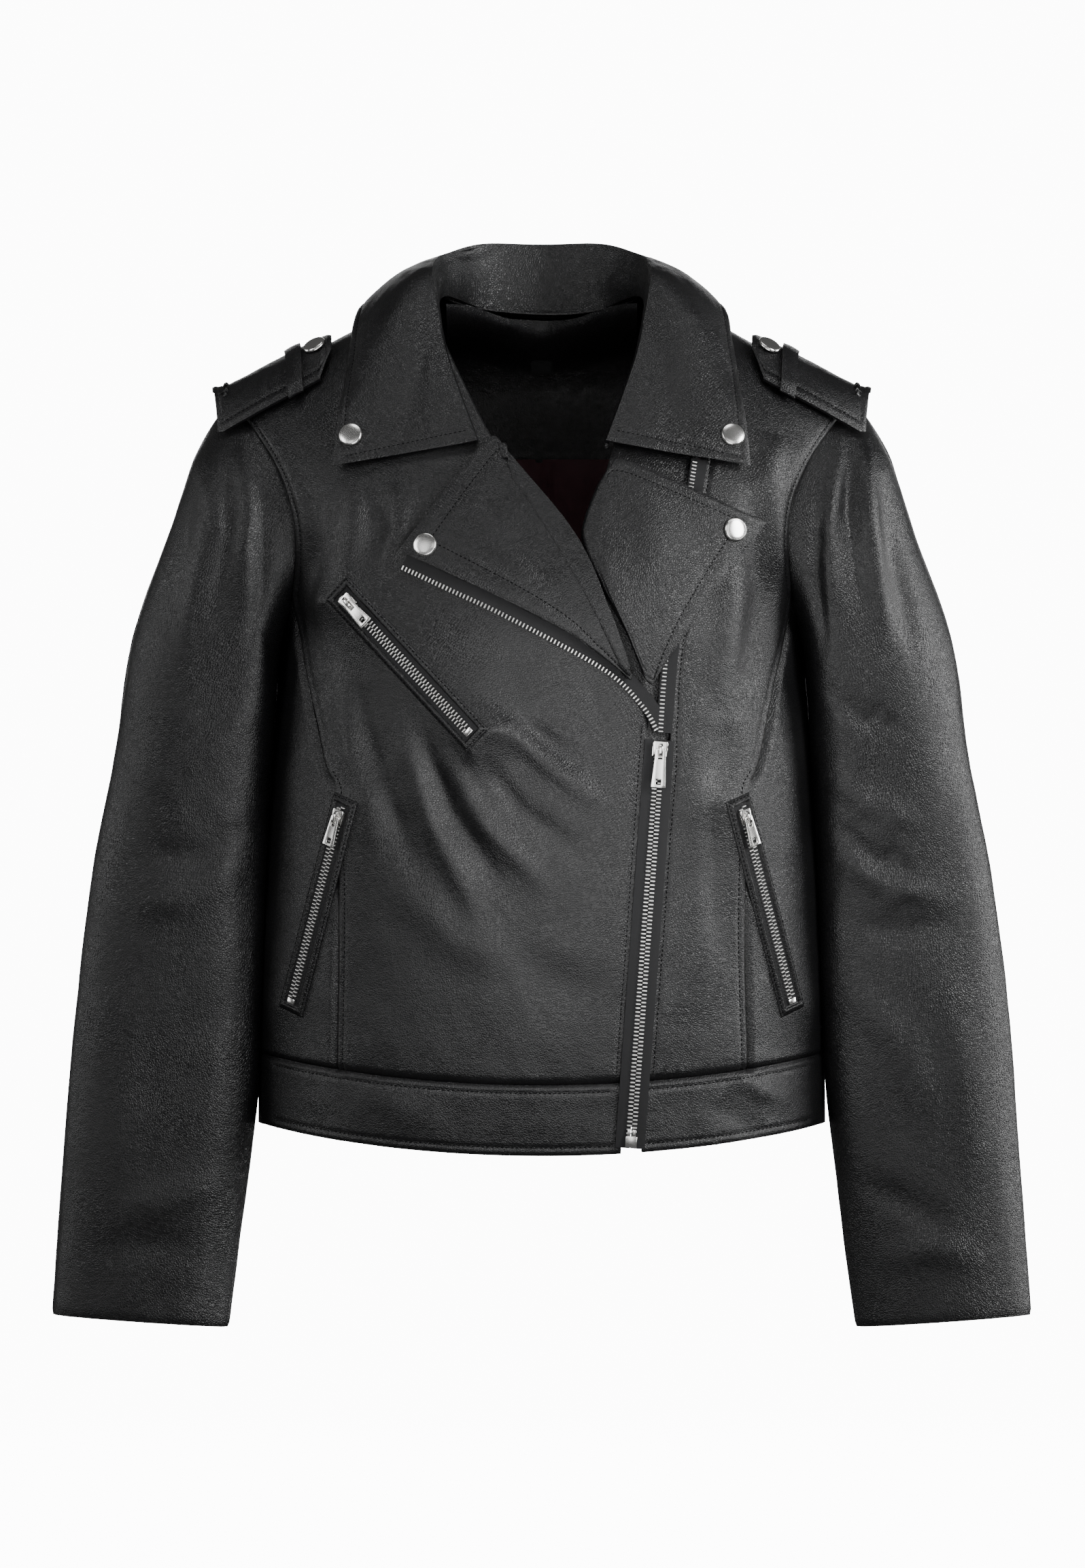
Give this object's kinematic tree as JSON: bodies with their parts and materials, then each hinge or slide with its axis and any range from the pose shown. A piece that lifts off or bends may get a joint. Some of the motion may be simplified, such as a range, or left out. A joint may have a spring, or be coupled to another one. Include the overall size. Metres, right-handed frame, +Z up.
{
  "type": "leather riding jacket",
  "caption": "Cropped black leather riding jacket with an off-centre front zip, snapped collar and lapels, shoulder straps and zipped chest and hip pockets.",
  "frame": {"origin": "the neck's centre, where a hanger's hook or the wearer's neck carries the jacket, level with the inner ends of the shoulder seams", "axes": "+X towards the wearer's left, -Y out of the front, +Z up"},
  "size_m": [0.6322, 0.2367, 0.7054],
  "materials": {
    "leather": "smooth black leather with a fine grain and a satin sheen",
    "lining": "dark maroon woven lining",
    "tape": "black woven zip tape and label cloth",
    "nickel": "polished nickel plate"
  },
  "bodies": {
    "root": {"front_right": "leather", "front_left": "leather", "side_front_right": "leather", "side_front_left": "leather", "back_centre": "leather", "side_back_right": "leather", "side_back_left": "leather", "waistband_right": "leather", "waistband_left": "leather", "waistband_back": "leather", "underlap_left": "leather", "collar_fall": "leather", "collar_stand": "leather", "neck_facing": "leather", "chest_pocket_welt": "leather", "hip_pocket_right_welt": "leather", "hip_pocket_left_welt": "leather", "shoulder_strap_right": "leather", "shoulder_strap_left": "leather", "strap_keeper_right": "leather", "strap_keeper_left": "leather", "lining_back": "lining", "lining_front_right": "lining", "lining_front_left": "lining", "chest_pocket_bag": "lining", "hip_pocket_bag_right": "lining", "hip_pocket_bag_left": "lining", "hanger_loop_patch": "tape", "care_tag": "tape", "main_zip_tape_right": "tape", "main_zip_tape_left": "tape", "chest_pocket_chain": "nickel", "hip_pocket_right_chain": "nickel", "hip_pocket_left_chain": "nickel", "main_zip_teeth_right": "nickel", "main_zip_teeth_left": "nickel", "main_zip_box": "nickel", "open_teeth_left": "nickel", "collar_snap_right": "nickel", "strap_snap_right": "nickel", "collar_snap_left": "nickel", "strap_snap_left": "nickel"},
    "sleeve_right": {"sleeve_top_right": "leather", "sleeve_under_right": "leather"},
    "sleeve_left": {"sleeve_top_left": "leather", "sleeve_under_left": "leather"},
    "lapel_right": {"lapel_right": "leather", "lapel_snap_right": "nickel", "lapel_teeth_right": "nickel", "lapel_tape_right": "tape"},
    "lapel_left": {"lapel_left": "leather", "lapel_snap_left": "nickel"},
    "main_slider": {"main_slider": "nickel"},
    "main_pull": {"main_pull": "nickel"},
    "chest_slider": {"chest_slider": "nickel"},
    "chest_pull": {"chest_pull": "nickel"},
    "hip_slider_right": {"hip_right_slider": "nickel"},
    "hip_pull_right": {"hip_right_pull": "nickel"},
    "hip_slider_left": {"hip_left_slider": "nickel"},
    "hip_pull_left": {"hip_left_pull": "nickel"}
  },
  "joints": [
    {"name": "sleeve_right_lift", "type": "hinge", "parent": "root", "child": "sleeve_right", "pos_m": [-0.207, 0.005, -0.06], "axis": [0, 1, 0], "range_deg": [0, 45]},
    {"name": "sleeve_left_lift", "type": "hinge", "parent": "root", "child": "sleeve_left", "pos_m": [0.207, 0.005, -0.06], "axis": [0, -1, 0], "range_deg": [0, 45]},
    {"name": "lapel_right_lift", "type": "hinge", "parent": "root", "child": "lapel_right", "pos_m": [0.0204, -0.111, -0.168], "axis": [-0.4977, 0.1461, 0.8549], "range_deg": [0, 35]},
    {"name": "lapel_left_lift", "type": "hinge", "parent": "root", "child": "lapel_left", "pos_m": [0.045, -0.114, -0.18], "axis": [0.31, -0.086, -0.9469], "range_deg": [0, 35]},
    {"name": "main_zip_slide", "type": "slide", "parent": "root", "child": "main_slider", "axis": [0.0729, -0.0116, 0.9973], "range_m": [-0.2407, 0]},
    {"name": "main_zip_pull_swing", "type": "hinge", "parent": "main_slider", "child": "main_pull", "pos_m": [0.07566, -0.1134, -0.28213], "axis": [-0.9792, -0.1908, 0.0693], "range_deg": [0, 150]},
    {"name": "chest_zip_slide", "type": "slide", "parent": "root", "child": "chest_slider", "axis": [-0.6562, 0.263, 0.7073], "range_m": [-0.1112, 0]},
    {"name": "chest_zip_pull_swing", "type": "hinge", "parent": "chest_slider", "child": "chest_pull", "pos_m": [-0.12453, -0.09514, -0.18814], "axis": [-0.6614, 0.2508, -0.7069], "range_deg": [0, 150]},
    {"name": "hip_zip_right_slide", "type": "slide", "parent": "root", "child": "hip_slider_right", "axis": [0.2484, -0.2106, 0.9455], "range_m": [-0.119, 0]},
    {"name": "hip_zip_right_pull_swing", "type": "hinge", "parent": "hip_slider_right", "child": "hip_pull_right", "pos_m": [-0.13185, -0.08847, -0.32528], "axis": [-0.7157, 0.6178, 0.3257], "range_deg": [0, 150]},
    {"name": "hip_zip_left_slide", "type": "slide", "parent": "root", "child": "hip_slider_left", "axis": [-0.2484, -0.2106, 0.9455], "range_m": [-0.119, 0]},
    {"name": "hip_zip_left_pull_swing", "type": "hinge", "parent": "hip_slider_left", "child": "hip_pull_left", "pos_m": [0.13185, -0.08847, -0.32528], "axis": [-0.7157, -0.6178, -0.3257], "range_deg": [0, 150]}
  ]
}
